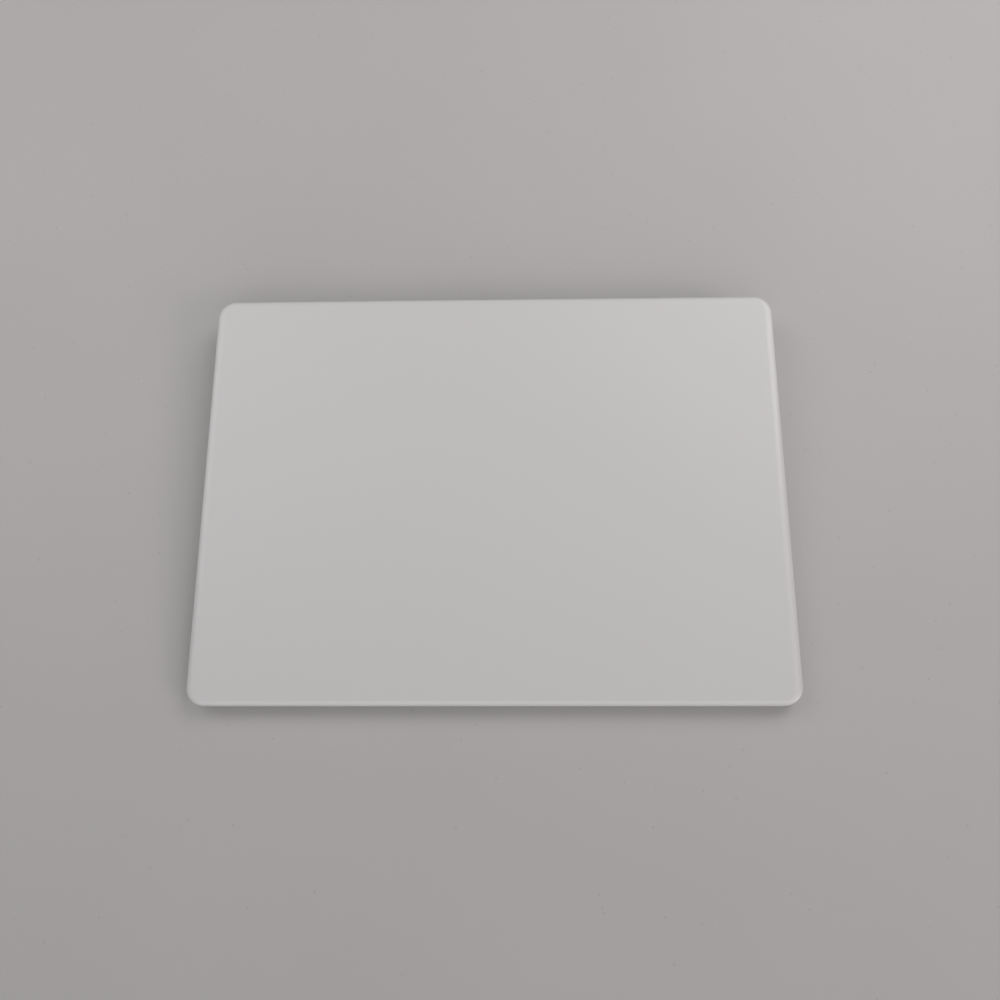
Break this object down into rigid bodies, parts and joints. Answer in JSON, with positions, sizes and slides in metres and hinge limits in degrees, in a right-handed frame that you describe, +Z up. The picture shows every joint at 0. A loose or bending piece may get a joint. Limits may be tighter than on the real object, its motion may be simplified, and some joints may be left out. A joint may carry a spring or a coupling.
{
  "type": "trackpad",
  "caption": "Flat wireless trackpad: a white glass touch plate over a thin metal wedge, with a charging socket and power switch in its rear wall.",
  "frame": {"origin": "on the table, under the middle of the body's footprint", "axes": "+X to the user's right along the long side, +Y from the low front edge to the high rear edge, +Z up from the table"},
  "size_m": [0.16, 0.115, 0.0108],
  "materials": {
    "white_glass": "finely etched, white behind, so it doesn't show through",
    "bond": "thin bonding film",
    "circuit_board": "solder mask over glass-fibre board",
    "chip": "moulded chip packages",
    "connector": "moulded ribbon connectors",
    "soft_steel": "laminated and stamped soft steel",
    "spring_steel": "stamped spring steel",
    "screw_steel": "small plated screws",
    "shield": "tinned sheet",
    "gel": "soft gel",
    "gauge_film": "printed film",
    "case_metal": "bead blasted and anodised",
    "foot_rubber": "matt pale grey",
    "coil_copper": "enamelled copper",
    "cell_foil": "foil pouch",
    "ribbon_film": "amber film over copper",
    "carrier_plastic": "moulded plastic",
    "socket_steel": "drawn stainless steel",
    "socket_plastic": "black moulded plastic",
    "contact_gold": "gold plated",
    "knob_plastic": "silver-grey moulded plastic",
    "mark_green": "green moulded plastic"
  },
  "bodies": {
    "case": {"cell_adhesive": "bond", "battery_board": "circuit_board", "logic_board": "circuit_board", "socket_board": "circuit_board", "switch_board": "circuit_board", "processor": "chip", "board_parts": "chip", "board_connectors": "connector", "haptic_core": "soft_steel", "haptic_tray": "soft_steel", "flexure_front_left": "spring_steel", "flexure_front_right": "spring_steel", "flexure_rear_left": "spring_steel", "flexure_rear_right": "spring_steel", "flexure_screws": "screw_steel", "tray_screws": "screw_steel", "board_screws": "screw_steel", "shield_can": "shield", "radio_can": "shield", "strain_gauges": "gauge_film", "lower_case": "case_metal", "foot_front_left": "foot_rubber", "foot_front_right": "foot_rubber", "foot_rear_left": "foot_rubber", "foot_rear_right": "foot_rubber", "coil_1": "coil_copper", "coil_2": "coil_copper", "coil_3": "coil_copper", "coil_4": "coil_copper", "antenna_foil": "coil_copper", "cell_left": "cell_foil", "cell_right": "cell_foil", "port_ribbon": "ribbon_film", "switch_ribbon": "ribbon_film", "coil_ribbon": "ribbon_film", "battery_lead": "ribbon_film", "sensor_ribbon": "ribbon_film", "antenna_carrier": "carrier_plastic", "socket_shell": "socket_steel", "socket_core": "socket_plastic", "switch_housing": "socket_plastic", "socket_contacts": "contact_gold", "switch_mark": "mark_green"},
    "gel_pads": {"gel_pad_front_left": "gel", "gel_pad_front_right": "gel", "gel_pad_rear_left": "gel", "gel_pad_rear_right": "gel"},
    "touch_plate": {"glass_plate": "white_glass", "bonding_sheet": "bond", "sensor_board": "circuit_board", "touch_chips": "chip", "sensor_connector": "connector", "armature": "soft_steel", "spacer_front_left": "spring_steel", "spacer_front_right": "spring_steel", "spacer_rear_left": "spring_steel", "spacer_rear_right": "spring_steel"},
    "power_knob": {"switch_knob": "knob_plastic"}
  },
  "joints": [
    {"name": "press", "type": "slide", "parent": "case", "child": "gel_pads", "axis": [0, 0.0521, -0.9986], "range_m": [0, 0.00025], "stiffness_N_per_m": 15000, "springref_m": -0.0001, "deforming": ["flexure_front_left", "flexure_front_right", "flexure_rear_left", "flexure_rear_right", "strain_gauges", "sensor_ribbon"]},
    {"name": "shift", "type": "slide", "parent": "gel_pads", "child": "touch_plate", "axis": [0, 0.9986, 0.0521], "range_m": [-0.0002, 0.0002], "stiffness_N_per_m": 8000},
    {"name": "power_switch", "type": "slide", "parent": "case", "child": "power_knob", "axis": [-1, 0, 0], "range_m": [0, 0.0022]}
  ]
}
